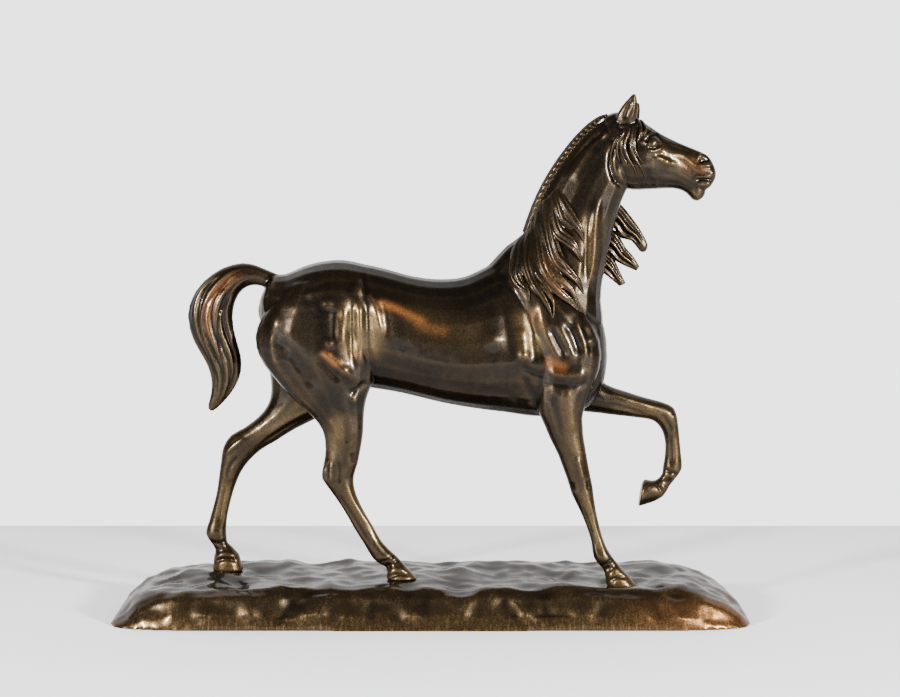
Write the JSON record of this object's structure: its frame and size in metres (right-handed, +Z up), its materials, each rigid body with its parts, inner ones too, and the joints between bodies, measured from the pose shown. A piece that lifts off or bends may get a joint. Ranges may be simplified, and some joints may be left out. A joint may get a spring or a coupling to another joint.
{
  "type": "horse statue",
  "caption": "Cast bronze statue of a pacing stallion with a raised foreleg and a wind-blown mane, on a terrace of modelled ground.",
  "frame": {"origin": "middle of the terrace's footprint, on the table plane", "axes": "+X the way the horse walks, +Y its far side, +Z up"},
  "size_m": [0.352, 0.104, 0.2897],
  "materials": {
    "patina": "glossy lacquer over dark brown patina",
    "ground_patina": "glossy lacquer over dark brown patina",
    "hair_patina": "glossy lacquer over dark brown patina",
    "steel": "zinc plated"
  },
  "bodies": {
    "root": {"terrace": "ground_patina", "torso": "patina", "neck": "patina", "head": "patina", "forelock": "hair_patina", "crest_mane": "hair_patina", "near_mane": "hair_patina", "far_mane": "hair_patina", "tail": "patina", "near_foreleg": "patina", "raised_foreleg": "patina", "near_hindleg": "patina", "far_hindleg": "patina", "hoof_studs": "steel", "hoof_washers": "steel", "hoof_nuts": "steel", "leg_dowels": "steel", "neck_dowels": "steel", "head_dowel": "steel", "tail_dowel": "steel"}
  },
  "joints": []
}
